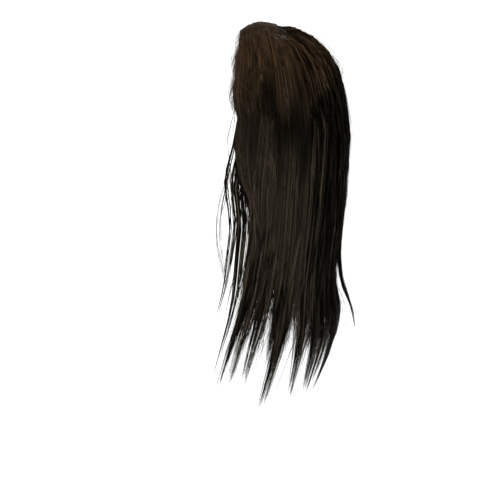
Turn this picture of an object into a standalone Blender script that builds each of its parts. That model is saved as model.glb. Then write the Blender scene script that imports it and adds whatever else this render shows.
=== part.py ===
"""A U-part wig: a net cap that is open along the top of the head, two snap clips and long straight hair.

Metres, +Z up. The wearer faces -Y and has their left side at +X. The origin is the highest point of the
head that the cap sits on, and every wall is laid at a depth outside that head.
"""

import math
from collections import namedtuple

import bmesh
import bpy
from mathutils import Vector
from mathutils.bvhtree import BVHTree

# The head that the cap is made for
HEAD_HALF_WIDTH = 0.077
HEAD_BACK = 0.090
HEAD_WAIST = 0.015
FRONT_REACH = 0.038

# The opening, which runs back from the front edge
OPENING_HALF_WIDTH = 0.024
OPENING_BACK = 0.024

# The net cap
CAP_WALL = 0.0015
PIECE_GAP = 0.0003
RIM_SIDE_DROP = 0.090
RIM_BACK_DROP = 0.125
RIM_FRONT_DROP = 0.082

# Hair
HAIR_REACH = 0.475
HAIR_DEPTH = 0.0105
FRONT_THINNING = 0.55
TIP_SWEEP = 0.040
TIP_FLARE = 0.018
LOCK_GAP_ANGLE = 0.6
LAYER_PARTING = 0.0016
NAPE_SHARE = 0.42
TIP_WIDTH_SHARE = 0.11
TIP_DEPTH_SHARE = 0.20
GROOVE_SHARE = 0.30

# Snap clips
CLIP_LENGTH = 0.020
CLIP_HALF_WIDTH = 0.0048
CLIP_THICKNESS = 0.0007
CLIP_RAIL = 0.0013
CLIP_RIDE = 0.0006
CLIP_TONGUE_HALF_WIDTH = 0.0008
CLIP_TONGUE_LIFT = 0.0006
CLIP_TURN = 14.0

# Stops along a clip, from its round front end to its tail. along is a share of CLIP_LENGTH and half_width of
# CLIP_HALF_WIDTH. slot marks the open part, and rise is how far the tongue in it has lifted by that stop.
ClipStop = namedtuple("ClipStop", "along half_width slot rise")
CLIP_STOPS = (
    ClipStop(0.000, 0.40, False, 0.0),
    ClipStop(0.045, 0.76, False, 0.0),
    ClipStop(0.120, 0.97, False, 0.0),
    ClipStop(0.210, 1.00, False, 0.0),
    ClipStop(0.310, 0.96, True, 0.0),
    ClipStop(0.410, 0.90, True, 0.2),
    ClipStop(0.510, 0.85, True, 0.4),
    ClipStop(0.610, 0.80, True, 0.7),
    ClipStop(0.710, 0.75, True, 1.0),
    ClipStop(0.790, 0.71, True, 1.0),
    ClipStop(0.870, 0.66, True, 1.0),
    ClipStop(0.940, 0.54, False, 1.0),
    ClipStop(1.000, 0.30, False, 1.0),
)

# The cap and the hair are drawn round the head from the nape, at 0 degrees, to the front edge on each side.
FRONT_ANGLE = 115.0
SIDE_ANGLE = 90.0
STEP = 1e-3

# Rows on the head. out runs from the opening's edge, 0, to the widest level, 1. front is a share of
# FRONT_REACH. The three downs are shares of the rim's drop at the front, the side and the back. The depths of
# hair over the cap at the side and at the back are shares of HAIR_DEPTH.
HeadRow = namedtuple("HeadRow", "out front front_down side_down back_down side_hair back_hair")
HEAD_ROWS = (
    HeadRow(0.00, 0.72, 0.080, -0.006, 0.028, 0.22, 0.12),
    HeadRow(0.30, 0.74, 0.185, 0.072, 0.096, 0.34, 0.72),
    HeadRow(0.60, 0.76, 0.375, 0.280, 0.222, 0.66, 0.86),
    HeadRow(0.83, 0.92, 0.610, 0.560, 0.393, 0.56, 0.80),
    HeadRow(0.96, 0.90, 0.800, 0.795, 0.630, 0.50, 0.76),
    HeadRow(1.00, 0.78, 1.000, 1.000, 1.000, 0.58, 1.24),
)

# Rows below the cap. fall runs from the cap's rim, 0, to the longest tip, 1. side is a share of
# HEAD_HALF_WIDTH, waist and back are shares of HEAD_BACK, and the rest is as above.
FallRow = namedtuple("FallRow", "fall side waist back front side_hair back_hair")
FALL_ROWS = (
    FallRow(0.10, 0.995, 0.17, 0.967, 0.98, 0.67, 1.50),
    FallRow(0.20, 0.950, 0.15, 0.967, 1.22, 0.72, 1.45),
    FallRow(0.32, 0.890, 0.13, 0.967, 1.06, 0.67, 1.18),
    FallRow(0.45, 0.840, 0.09, 0.944, 1.06, 0.62, 1.00),
    FallRow(0.58, 0.805, 0.04, 0.950, 0.96, 0.58, 0.98),
    FallRow(0.70, 0.820, -0.02, 1.030, 0.98, 0.58, 1.15),
    FallRow(0.82, 0.890, -0.09, 1.000, 1.05, 0.50, 0.90),
    FallRow(1.00, 1.000, -0.15, 0.822, 1.05, 0.30, 0.45),
)
RIM_LEVEL = len(HEAD_ROWS) - 1
LAST_LEVEL = RIM_LEVEL + len(FALL_ROWS)

# Locks of hair from the front edge to the middle of the back. start and end are angles, slit is the share of
# the fall where the lock parts from the next one, and reach is its length as a share of the fall. sweep swings
# its tip forward, as a share of TIP_SWEEP, and flare lifts it off the body, as a share of TIP_FLARE.
Lock = namedtuple("Lock", "start end slit reach sweep flare")
LEFT_SIDE_LOCKS = (
    Lock(115, 110, 0.36, 0.72, 0.55, 0.30),
    Lock(110, 104, 0.58, 0.90, 0.62, 0.45),
    Lock(104, 97, 0.67, 0.92, 0.66, 0.55),
    Lock(97, 90, 0.58, 0.90, 0.55, 0.50),
    Lock(90, 82, 0.67, 0.89, 0.45, 0.60),
    Lock(82, 73, 0.58, 0.84, 0.18, 0.25),
    Lock(73, 63, 0.67, 0.99, 0.62, 0.85),
    Lock(63, 52, 0.76, 0.95, 0.14, 0.30),
    Lock(52, 41, 0.58, 1.00, 0.05, 0.15),
)
LEFT_BACK_LOCKS = (
    Lock(41, 28, 0.67, 0.97, 0.05, -0.10),
    Lock(28, 14, 0.58, 1.00, 0.00, -0.20),
    Lock(14, 0, 0.48, 0.76, -0.10, 0.95),
)
RIGHT_BACK_LOCKS = (
    Lock(0, -13, 0.67, 0.97, 0.00, 0.00),
    Lock(-13, -27, 0.58, 0.92, -0.06, 0.35),
    Lock(-27, -41, 0.67, 1.00, 0.05, -0.10),
)
RIGHT_SIDE_LOCKS = (
    Lock(-41, -52, 0.76, 0.94, 0.05, 0.25),
    Lock(-52, -63, 0.58, 0.98, 0.15, 0.30),
    Lock(-63, -73, 0.67, 0.90, 0.32, 0.50),
    Lock(-73, -82, 0.58, 0.97, 0.34, 0.50),
    Lock(-82, -90, 0.67, 0.88, 0.38, 0.40),
    Lock(-90, -97, 0.58, 0.95, 0.42, 0.50),
    Lock(-97, -104, 0.58, 0.88, 0.42, 0.40),
    Lock(-104, -110, 0.67, 0.92, 0.42, 0.30),
    Lock(-110, -115, 0.36, 0.74, 0.40, 0.25),
)
NAPE_LOCKS = (
    Lock(97, 90, 0.48, 0.76, 0.20, 0.00),
    Lock(90, 82, 0.58, 0.80, 0.20, 0.00),
    Lock(82, 73, 0.67, 0.84, 0.15, 0.00),
    Lock(73, 63, 0.58, 0.80, 0.10, 0.00),
    Lock(63, 52, 0.67, 0.88, 0.10, 0.00),
    Lock(52, 41, 0.58, 0.82, 0.05, 0.00),
    Lock(41, 28, 0.67, 0.90, 0.00, 0.00),
    Lock(28, 14, 0.58, 0.84, 0.00, 0.00),
    Lock(14, 0, 0.67, 0.86, 0.00, 0.00),
    Lock(0, -13, 0.58, 0.82, 0.00, 0.00),
    Lock(-13, -27, 0.67, 0.88, 0.00, 0.00),
    Lock(-27, -41, 0.58, 0.84, 0.00, 0.00),
    Lock(-41, -52, 0.67, 0.88, 0.05, 0.00),
    Lock(-52, -63, 0.58, 0.80, 0.10, 0.00),
    Lock(-63, -73, 0.67, 0.86, 0.10, 0.00),
    Lock(-73, -82, 0.58, 0.78, 0.15, 0.00),
    Lock(-82, -90, 0.67, 0.82, 0.20, 0.00),
    Lock(-90, -97, 0.48, 0.74, 0.20, 0.00),
)
ACROSS_LOCK = (-1.0, 0.0, 1.0)
SWEEP_START = 0.45

# Levels of the mesh rows on the head, and the falls of those below it
HEAD_LEVELS = (0.0, 0.28, 1.04, 1.6, 2.3, 3.0, 4.0, 4.5, 5.0)
FALL_SHARES = (0.12, 0.24, 0.36, 0.48, 0.58, 0.67, 0.76, 0.84, 0.92, 1.0)
NAPE_TOP_LEVEL = 4.5

# The hair leaves a window over each clip between these levels and angles.
WINDOW_LEVELS = (HEAD_LEVELS[1], HEAD_LEVELS[2])
WINDOW_ANGLES = (82, 41)

DARK_BROWN = (0.030, 0.019, 0.013, 1.0)
NET_BROWN = (0.022, 0.015, 0.011, 1.0)
BRONZE = (0.20, 0.16, 0.125, 1.0)


def clear_scene():
    for scene_object in list(bpy.data.objects):
        bpy.data.objects.remove(scene_object)


def finish(name, colour, roughness, metallic=0.0):
    """A plain surface of one colour."""
    material = bpy.data.materials.new(name)
    material.use_nodes = True
    shader = material.node_tree.nodes["Principled BSDF"]
    shader.inputs["Base Color"].default_value = colour
    shader.inputs["Roughness"].default_value = roughness
    shader.inputs["Metallic"].default_value = metallic
    return material


def mix(start, end, share):
    return start + (end - start) * share


def ease(share):
    share = min(max(share, 0.0), 1.0)
    return share * share * (3.0 - 2.0 * share)


def ring_xy(angle, side, waist, back, front):
    """A point of a C-shaped ring, seen from above: round at the back and open at the front."""
    turn = math.radians(angle)
    depth = back - waist
    if abs(angle) > SIDE_ANGLE:
        depth = (waist + front) / -math.cos(math.radians(FRONT_ANGLE))
    return side * math.sin(turn), waist + depth * math.cos(turn)


def round_mix(angle, front, side, back):
    """A value that changes round the head, from the front edge past the side to the middle of the back."""
    turn = math.radians(angle)
    if abs(angle) > SIDE_ANGLE:
        return mix(side, front, math.cos(turn) / math.cos(math.radians(FRONT_ANGLE)))
    return mix(side, back, math.cos(turn) ** 2)


def rim_drop(angle):
    """How far the cap's rim lies below the top: deepest at the nape, and rising to the temples."""
    return round_mix(angle, RIM_FRONT_DROP, RIM_SIDE_DROP, RIM_BACK_DROP)


def head_point(row, angle):
    x, y = ring_xy(
        angle,
        mix(OPENING_HALF_WIDTH, HEAD_HALF_WIDTH, row.out),
        HEAD_WAIST * row.out,
        mix(OPENING_BACK, HEAD_BACK, row.out),
        FRONT_REACH * row.front,
    )
    return Vector((x, y, -rim_drop(angle) * round_mix(angle, row.front_down, row.side_down, row.back_down)))


def fall_point(row, angle):
    x, y = ring_xy(
        angle,
        HEAD_HALF_WIDTH * row.side,
        HEAD_BACK * row.waist,
        HEAD_BACK * row.back,
        FRONT_REACH * row.front,
    )
    return Vector((x, y, -mix(rim_drop(angle), HAIR_REACH, row.fall)))


def row_at(index):
    return HEAD_ROWS[index] if index <= RIM_LEVEL else FALL_ROWS[index - RIM_LEVEL - 1]


def row_point(index, angle):
    row = row_at(index)
    return fall_point(row, angle) if index > RIM_LEVEL else head_point(row, angle)


def row_hair(index, angle):
    """The depth outside the head of the hair's face: thin at the front edge and deepest at the back."""
    row = row_at(index)
    front = row.side_hair * (1.0 - FRONT_THINNING)
    return over_cap() + HAIR_DEPTH * round_mix(angle, front, row.side_hair, row.back_hair)


def along_rows(value_at, angle, level):
    """A value between the rows, on a smooth curve through them."""
    level = min(max(level, 0.0), float(LAST_LEVEL))
    first = min(int(level), LAST_LEVEL - 1)
    share = level - first
    before, start, end, after = (
        value_at(min(max(first + step, 0), LAST_LEVEL), angle) for step in (-1, 0, 1, 2)
    )
    slope_in = (end - before) * 0.5
    slope_out = (after - start) * 0.5
    square = share * share
    cube = square * share
    return (
        start * (2 * cube - 3 * square + 1)
        + slope_in * (cube - 2 * square + share)
        + end * (3 * square - 2 * cube)
        + slope_out * (cube - square)
    )


def head_surface(angle, level):
    return along_rows(row_point, angle, level)


def hair_depth(angle, level):
    return along_rows(row_hair, angle, level)


def outward(angle, level):
    low = max(level - STEP, 0.0)
    high = min(level + STEP, float(LAST_LEVEL))
    round_head = head_surface(angle + STEP, level) - head_surface(angle - STEP, level)
    down_head = head_surface(angle, high) - head_surface(angle, low)
    return round_head.cross(down_head).normalized()


def placed(angle, level, depth):
    """A point at a depth outside the head."""
    return head_surface(angle, level) + outward(angle, level) * depth


def over_cap():
    return CAP_WALL + PIECE_GAP


def split_depth(angle, level):
    """The depth where the nape hair ends and the long outer hair begins."""
    parted = over_cap() + (hair_depth(angle, level) - over_cap()) * NAPE_SHARE
    return mix(over_cap(), parted, ease((level - NAPE_TOP_LEVEL + 0.5) * 2.0))


def make_object(name, bm, material):
    bm.normal_update()
    bmesh.ops.recalc_face_normals(bm, faces=bm.faces)
    mesh = bpy.data.meshes.new(name)
    bm.to_mesh(mesh)
    bm.free()
    mesh.materials.append(material)
    mesh.shade_smooth()
    mesh.set_sharp_from_angle(angle=math.radians(50))
    made = bpy.data.objects.new(name, mesh)
    bpy.context.scene.collection.objects.link(made)
    return made


def wall(name, columns, rows, inner_point, outer_point, keep, material):
    """A closed wall on a grid: its inner face is laid first, and then drawn out to its outer face."""
    bm = bmesh.new()
    bmesh.ops.create_grid(bm, x_segments=columns - 1, y_segments=rows - 1, size=1.0)
    column_of = bm.verts.layers.int.new("column")
    row_of = bm.verts.layers.int.new("row")
    for vertex in bm.verts:
        vertex[column_of] = round((vertex.co.x + 1.0) / 2.0 * (columns - 1))
        vertex[row_of] = round((vertex.co.y + 1.0) / 2.0 * (rows - 1))
    dropped = [
        face
        for face in bm.faces
        if not keep(min(v[column_of] for v in face.verts), min(v[row_of] for v in face.verts))
    ]
    bmesh.ops.delete(bm, geom=dropped, context="FACES")
    for vertex in bm.verts:
        vertex.co = inner_point(vertex[column_of], vertex[row_of])
    drawn = bmesh.ops.extrude_face_region(bm, geom=bm.faces[:], use_keep_orig=True)
    for vertex in drawn["geom"]:
        if isinstance(vertex, bmesh.types.BMVert):
            vertex.co = outer_point(vertex[column_of], vertex[row_of])
    return make_object(name, bm, material)


def lock_taper(lock, share):
    """How far a lock has drawn in to its tip, from 0 where it parts to 1."""
    return max((share - lock.slit) / (1.0 - lock.slit), 0.0) ** 1.5


def lock_level(lock, share):
    """The level that a share of the fall has on this lock. The locks differ in length mostly near their tips."""
    fall = share * mix(1.0, lock.reach, ease(share / 0.9))
    falls = (0.0,) + tuple(row.fall for row in FALL_ROWS)
    for index in range(len(falls) - 1):
        if fall <= falls[index + 1]:
            return RIM_LEVEL + index + (fall - falls[index]) / (falls[index + 1] - falls[index])
    return float(LAST_LEVEL)


def lock_point(lock, across, level, share, outer):
    """A point on a lock. across runs from -1 to 1, share is how far it has fallen, and outer picks the face."""
    middle = (lock.start + lock.end) / 2.0
    half = (abs(lock.start - lock.end) - LOCK_GAP_ANGLE) / 2.0
    taper = lock_taper(lock, share)
    angle = middle - across * half * mix(1.0, TIP_WIDTH_SHARE, taper)
    inner, full = outer
    low = inner(angle, level)
    groove = GROOVE_SHARE * ease(level / RIM_LEVEL) * (abs(across) > 0.9)
    high = mix(full(angle, level), low, groove)
    centre = (low + high) / 2.0
    half_depth = (high - low) / 2.0 * mix(1.0, TIP_DEPTH_SHARE, taper)
    return angle, centre, half_depth


def swung(lock, point, normal, share):
    """The point moved with its lock's swing and lift."""
    swing = max((share - SWEEP_START) / (1.0 - SWEEP_START), 0.0) ** 2
    return point + Vector((0.0, -TIP_SWEEP * lock.sweep, 0.0)) * swing + normal * (TIP_FLARE * lock.flare * swing)


def hair_panel(name, locks, head_levels, fall_shares, inner, full, has_window, material):
    """Locks side by side, one wall where they lie together and apart below their slits."""
    columns = [(lock, across) for lock in locks for across in ACROSS_LOCK]
    rows = [(level, 0.0) for level in head_levels] + [(None, share) for share in fall_shares]
    per_lock = len(ACROSS_LOCK)

    def keep(column, row):
        lock = columns[column][0]
        level, share = rows[row]
        in_gap = column % per_lock == per_lock - 1
        if in_gap and share >= lock.slit:
            return False
        if has_window and level is not None and WINDOW_LEVELS[0] <= level < WINDOW_LEVELS[1]:
            widest, narrowest = WINDOW_ANGLES
            after = columns[column + 1][0]
            low = min(abs(lock.start), abs(lock.end), abs(after.start), abs(after.end))
            high = max(abs(lock.start), abs(lock.end), abs(after.start), abs(after.end))
            return low < narrowest or high > widest
        return True

    def point(column, row, side):
        lock, across = columns[column]
        level, share = rows[row]
        if level is None:
            level = lock_level(lock, share)
        angle, centre, half_depth = lock_point(lock, across, level, share, (inner, full))
        normal = outward(angle, level)
        at = head_surface(angle, level) + normal * (centre + side * half_depth)
        return swung(lock, at, normal, share)

    return wall(
        name,
        len(columns),
        len(rows),
        lambda column, row: point(column, row, -1.0),
        lambda column, row: point(column, row, 1.0),
        keep,
        material,
    )


def cap_columns():
    """The angles of the cap's columns: both edges and the middle of each lock."""
    locks = LEFT_SIDE_LOCKS + LEFT_BACK_LOCKS + RIGHT_BACK_LOCKS + RIGHT_SIDE_LOCKS
    angles = [locks[0].start]
    for lock in locks:
        angles += [(lock.start + lock.end) / 2.0, lock.end]
    return angles


def net_cap(name, material):
    """The cap: one wall round the head, open along the top and at the front."""
    angles = cap_columns()
    return wall(
        name,
        len(angles),
        len(HEAD_LEVELS),
        lambda column, row: placed(angles[column], HEAD_LEVELS[row], 0.0),
        lambda column, row: placed(angles[column], HEAD_LEVELS[row], CAP_WALL),
        lambda column, row: True,
        material,
    )


def snap_clip(name, side, cap, material):
    """A pressed steel snap clip in the middle of its window, bent over the cap. side is 1 on the left."""
    bpy.context.view_layer.update()
    net = BVHTree.FromObject(cap, bpy.context.evaluated_depsgraph_get())
    angle = side * sum(WINDOW_ANGLES) / 2.0
    level = sum(WINDOW_LEVELS) / 2.0
    normal = outward(angle, level)
    foot = net.ray_cast(placed(angle, level, HAIR_DEPTH), -normal)[0]
    turn = math.radians(CLIP_TURN) * side
    across = normal.cross(Vector((-math.sin(turn), math.cos(turn), 0.0))).normalized()
    back = across.cross(normal)

    def bend(step):
        """How sharply the clip has to bend to follow the cap on both sides of its middle."""
        falls = [net.ray_cast(foot + offset + normal * HAIR_DEPTH, -normal)[3] for offset in (step, -step)]
        return (min(falls) - HAIR_DEPTH) / step.length_squared

    along_bend = bend(back * CLIP_LENGTH / 2.0)
    across_bend = bend(across * CLIP_HALF_WIDTH)

    def point(column, row, height):
        stop = CLIP_STOPS[column]
        half = CLIP_HALF_WIDTH * stop.half_width
        x = CLIP_LENGTH * (stop.along - 0.5)
        inner = (CLIP_TONGUE_HALF_WIDTH, half - CLIP_RAIL) if stop.slot else (half * 0.2, half * 0.6)
        edges = (-half, -inner[1], -inner[0], inner[0], inner[1], half)
        y = edges[row]
        lift = CLIP_TONGUE_LIFT * stop.rise if row in (2, 3) else 0.0
        depth = PIECE_GAP + CLIP_RIDE + height + lift - along_bend * x * x - across_bend * y * y
        return foot + back * x + across * y + normal * depth

    def keep(column, row):
        slotted = CLIP_STOPS[column].slot and CLIP_STOPS[column + 1].slot
        tongue = CLIP_STOPS[column].rise < 1.0
        return not slotted or row in (0, 4) or (row == 2 and tongue)

    return wall(
        name,
        len(CLIP_STOPS),
        6,
        lambda column, row: point(column, row, 0.0),
        lambda column, row: point(column, row, CLIP_THICKNESS),
        keep,
        material,
    )


def outer_inner_depth(angle, level):
    return split_depth(angle, level) + PIECE_GAP / 2.0


def nape_inner_depth(angle, level):
    """The nape hair lies on the cap, and level with the cap's inner face below its rim."""
    return mix(over_cap(), 0.0, ease(level - RIM_LEVEL))


def nape_full_depth(angle, level):
    return split_depth(angle, level) - PIECE_GAP / 2.0 - LAYER_PARTING * ease(level - RIM_LEVEL)


def build():
    clear_scene()
    net = finish("cap_net", NET_BROWN, 0.85)
    hair = finish("hair", DARK_BROWN, 0.42)
    steel = finish("clip_steel", BRONZE, 0.32, 0.9)

    cap = net_cap("cap", net)
    snap_clip("clip_left", 1.0, cap, steel)
    snap_clip("clip_right", -1.0, cap, steel)

    panels = (
        ("hair_left", LEFT_SIDE_LOCKS, True),
        ("hair_back", LEFT_BACK_LOCKS + RIGHT_BACK_LOCKS, False),
        ("hair_right", RIGHT_SIDE_LOCKS, True),
    )
    for name, locks, has_window in panels:
        hair_panel(name, locks, HEAD_LEVELS, FALL_SHARES, outer_inner_depth, hair_depth, has_window, hair)
    nape_levels = (NAPE_TOP_LEVEL, float(RIM_LEVEL))
    hair_panel("hair_nape", NAPE_LOCKS, nape_levels, FALL_SHARES, nape_inner_depth, nape_full_depth, False, hair)


build()
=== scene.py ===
"""A u-part wig: long dark brown hair in locks on a net cap, with two snap clips at its opening."""

import math
from collections import namedtuple

import bmesh
import bpy
import numpy as np
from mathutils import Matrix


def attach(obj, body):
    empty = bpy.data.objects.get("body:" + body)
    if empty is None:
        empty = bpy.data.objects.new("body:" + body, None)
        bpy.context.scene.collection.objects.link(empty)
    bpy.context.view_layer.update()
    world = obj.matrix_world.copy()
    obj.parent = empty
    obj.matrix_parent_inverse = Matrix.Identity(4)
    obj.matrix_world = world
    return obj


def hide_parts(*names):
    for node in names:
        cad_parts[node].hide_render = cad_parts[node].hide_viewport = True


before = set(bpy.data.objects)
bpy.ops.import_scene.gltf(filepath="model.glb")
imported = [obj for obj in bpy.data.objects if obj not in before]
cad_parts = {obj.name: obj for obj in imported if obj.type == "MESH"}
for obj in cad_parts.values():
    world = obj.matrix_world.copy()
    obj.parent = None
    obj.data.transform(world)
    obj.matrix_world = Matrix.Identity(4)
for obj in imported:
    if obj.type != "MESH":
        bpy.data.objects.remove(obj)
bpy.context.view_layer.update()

# Camera, lights and floor
CAMERA_AT = (1.0, -0.017, 0.2)
CAMERA_PITCH = 64.35
CAMERA_LENS = 61.92
CAMERA_SENSOR = 36.0
FLOOR_LEVEL = -0.58
FLOOR_SIZE = 14.0
Sun = namedtuple("Sun", "name at soft power")
SUNS = (Sun("key_light", (1.0, -1.1, 1.5), 25.0, 1.3), Sun("top_light", (0.2, 0.1, 1.0), 60.0, 0.5))

# Head and opening
HEAD_HALF_WIDTH = 0.077
HEAD_BACK = 0.090
HEAD_WAIST = 0.015
FRONT_REACH = 0.038
OPENING_HALF_WIDTH = 0.024
OPENING_BACK = 0.024
FRONT_ANGLE = 115.0
SIDE_ANGLE = 90.0

# Net cap
CAP_WALL = 0.0015
PIECE_GAP = 0.0003
RIM_SIDE_DROP = 0.090
RIM_BACK_DROP = 0.125
RIM_FRONT_DROP = 0.082
CAP_COLUMNS = 120
CAP_ROWS = 44
NET_WALL_SHARE = 0.8
NET_LINE_ANGLE = 60.0
NET_LINE_STOPS = 200
NET_PITCH = 0.0022
STITCH_PITCH = 0.003
WEFT_LEVELS = (0.12, 0.7, 1.35, 2.0, 2.65, 3.3, 3.95, 4.6)

# Hair, whose tips sweep further forward than the CAD's and start to lean higher up
HAIR_REACH = 0.475
HAIR_DEPTH = 0.0105
FRONT_THINNING = 0.55
TIP_SWEEP = 0.052
TIP_FLARE = 0.018
LAYER_PARTING = 0.0016
NAPE_SHARE = 0.42
NAPE_TOP_LEVEL = 4.5
NAPE_PARTING_OVER = 0.5
TIP_WIDTH_SHARE = 0.11
TIP_DEPTH_SHARE = 0.20
SWEEP_START = 0.28
SWEEP_CURVE = 1.7
CLIP_WINDOW_END = 1.04
CLIP_WINDOW_ANGLES = (82.0, 41.0)
CLIP_COVER = 5.0
WINDOW_FADE_ANGLE = 3.0
WINDOW_FADE_LEVEL = 0.25
WINDOW_HAIR_GAP = 0.0003
WINDOW_HAIR_DEPTH = 0.0004
TOP_LOFT = 0.003
TOP_LOFT_LEVEL = 1.3
TOP_LOFT_FROM = 78.0
TOP_LOFT_OVER = 14.0
GATHER_FROM = 0.02
GATHER_OVER = 0.34

# Painted shade in a dark band round the head and on a darker back, and painted light on the lighter back tips
BAND_HEIGHT = 0.086
BAND_SPREAD = 0.032
BAND_SHADE = 0.78
BAND_WANDER = 0.020
BAND_RIPPLES = ((210.0, 90.0), (97.0, -60.0))
BAND_FROM = -0.05
BAND_OVER = 0.06
# Painted shade at the back, down to this share of the hair's lightness
BACK_PAINTED_SHADE = 0.30
BACK_SHADE_FROM = 0.035
BACK_SHADE_OVER = 0.045
BACK_SHADE_DROP = 0.15
# Painted light on the tips at the back, which takes back part of the painted back shade
TIP_LIGHT = 0.40
TIP_LIGHT_FROM = 0.34
TIP_LIGHT_OVER = 0.1
# Heights over which painted warm light comes in towards the top
TOP_PAINTED_LIGHT_HEIGHTS = (-0.10, -0.02)

# Wisp that bows forward off the far side
WISP_TOP = 0.190
WISP_END = 0.380
WISP_BOW = 0.021
WISP_SIDE = 0.060
WISP_FRONT = 0.042
WISP_STOPS = 14
WISP_UNEVEN_TOP = 0.006
WISP_UNEVEN_END = 0.012
WISP_BOW_SHARES = (0.25, 0.9)
WISP_FRONT_SPREAD = 0.0006
WISP_SIDE_SPREAD = 0.0015
WISP_SHADES = (0.3, 0.9)
WISP_WIDTH_SHARE = 0.9
WISP_ROLL = 0.3

# Strands and the tresses they run in
STRAND_WIDTH = 0.0004
STRAND_WIDTH_SHARES = (0.7, 1.3)
STRAND_SHORT = 0.04
STRAND_ROOT = 0.10
STRAND_LIFT = 0.06
STRAND_ROLL = 0.5
STRAND_SHADE = 0.22
ROLL_LIMIT = 1.25
RIBBON_STOPS = (0.0, 0.06, 0.75, 1.0)
RIBBON_WIDTHS = (0.6, 1.0, 0.9, 0.12)
TRESS_STRANDS = 7
TRESS_SPREAD = 0.38
TRESS_TIP_SPREAD = 0.22
TRESS_DRIFT = 1.7
TRESS_TURNS = (0.5, 1.5)
TRESS_ROLL = 0.5
TRESS_ROLL_SHARE = 0.6
TRESS_PULLS = (0.85, 1.35)
TRESS_LIFT_CURVE = 0.7
TRESS_SHADES = (0.04, 1.75)
TRESS_SHADE_CURVE = 2.4
# Painted shade in the hollows between ridges and painted light on the ridges
RIDGE_PAINTED_SHADES = (0.08, 1.45)
SHORT_CURVE = 2.2
SHORT_AT_MIDDLE = 0.35
LEANING_SHARE = 0.20
LEANING_MORE = 4.5
LEAN_PIVOT = 0.3
TIP_WANDER_LOSS = 0.75
WEAVE_LIFT = 0.18
WEAVE_TURNS = 1.3
WEAVE_PHASES = 3.7
HOLLOW_LIFT = 0.5
ROOT_SINK = 0.12
ROOT_RISE_OVER = 0.45
REACH_OVER = 0.9
FRONT_SPILL = 1.5
TOP_SHARE = 0.9
SLIT_RISE = 0.12
NEAR_SPARSE = (100.0, 0.26)
FAR_SPARSE = (91.0, 0.05)
LOOSE_SHARE = 0.24
LOOSE_REACHES = (0.72, 1.0)
LOOSE_TAPER = 0.35
POINTS_PER_LOCK = 2
POINT_SPREAD = 0.50
POINT_MIX = 0.25
POINT_WOBBLE = 0.12
POINT_REACHES = (0.93, 1.02)
POINT_SLITS = (-0.10, 0.08)

# Hair at the temples is kept calm: each loss is the share of a movement that is taken away there
CALM_ANGLES = (94.0, 108.0)
CALM_LIFT = 0.75
CALM_WANDER_LOSS = 0.92
CALM_SPREAD_LOSS = 0.6
CALM_ROLL_LOSS = 0.8

# Swathes, a few degrees of hair that move and shade together
SWATHE_ANGLE = 7.0
SWATHE_MIX = 0.3
SWATHE_DRIFT = 2.0
SWATHE_TURNS = (0.8, 1.9)
SWATHE_LIFT = 0.22
SWATHE_SHADES = (0.40, 1.50)

# Flyaways and temple strands
FLY_STOPS = 9
FLY_FIRST_LEVEL = 0.3
FLY_START_MARGIN = 2.5
FLY_END_MARGIN = 0.2
FLY_LEVELS = (0.7, 2.6)
FLY_CURL = 5.0
FLY_WAVE_SIZE = 1.5
FLY_LIFTS = (0.002, 0.009)
FLY_WINDOW_LIFT = 0.15
FLY_WAVE_RATE = 5.0
FLY_GATHER_LEVELS = 4.0
FLY_BULGES = (0.5, 0.95)
FLY_DEPTH = 0.9
FLY_SHADES = (0.3, 1.1)
FLY_WIDTH_SHARE = 0.55
TEMPLE_STARTS = (0.2, 4.2)
TEMPLE_LEVELS = (0.8, 1.8)
TEMPLE_INSET = 3.0
TEMPLE_BOWS = (0.001, 0.006)
TEMPLE_BULGES = (0.5, 1.0)
TEMPLE_DEPTH = 0.8
TEMPLE_SHADES = (0.3, 1.0)
TEMPLE_WIDTH_SHARE = 0.6

# Veil of strands over the front of the opening
VEIL_ANGLES = (62.0, 115.0)
VEIL_BEND = 0.062
VEIL_FAR_LEVEL = 0.25
VEIL_FAR_DEPTH = 0.002
VEIL_NEAR_LEVELS = (0.30, 0.60)
VEIL_REACHES = (0.62, 0.95)
VEIL_FALL = 0.9
VEIL_STOPS = 8
VEIL_HEAD_STOPS = 6
VEIL_LANDING = 4.0
VEIL_LANDING_SPREAD = 6.0
VEIL_SHIFT = (1.0, 3.0)
VEIL_DRIFT = 2.0
VEIL_PULL_FROM = 3.0
VEIL_DEPTHS = (0.85, 1.02)
VEIL_THICKNESS = 0.0025
VEIL_BLENDS = (0.16, 0.3)
VEIL_LEAN = 12.0
VEIL_WIDTH_SHARES = (0.8, 1.4)
VEIL_SHADES = (0.2, 0.95)
VEIL_TOP = 0.009
VEIL_MIDDLE = -0.005
VEIL_FRONT_BEND = 0.026
VEIL_BACK_BEND = 0.046

# Stops along a strand on the head and on the fall, and the small step that slopes are measured over
HEAD_STOPS = 8
FALL_STOPS = 9
STEP = 1e-3

# Waves of ridges and hollows: how many go round the head, how far the bends move them, how fast they drift
# on their way down, where they start, and how much they count
Ridge = namedtuple("Ridge", "count bend drift start weight")
RIDGES = (
    Ridge(37.0, 1.0, 0.9, 0.0, 1.0),
    Ridge(61.0, -0.7, -1.3, 2.0, 0.8),
    Ridge(97.0, 0.4, 0.5, 4.0, 0.6),
)
Bend = namedtuple("Bend", "size down round start")
RIDGE_BENDS = (Bend(0.05, 1.1, 2.0, 0.0), Bend(0.03, 2.3, -5.0, 1.0))
RIDGE_SOFTNESS = 2.0

# Rings round the head, from the opening's edge to the widest level, and then down the hair. The first four
# are metres, the downs are shares of the rim's drop, and fall is a share of the hair's reach.
Ring = namedtuple(
    "Ring", "half_width waist back front front_down side_down back_down fall side_hair back_hair"
)


def mix(start, end, share):
    return start + (end - start) * share


def ease(share):
    share = np.clip(share, 0.0, 1.0)
    return share * share * (3.0 - 2.0 * share)


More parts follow.
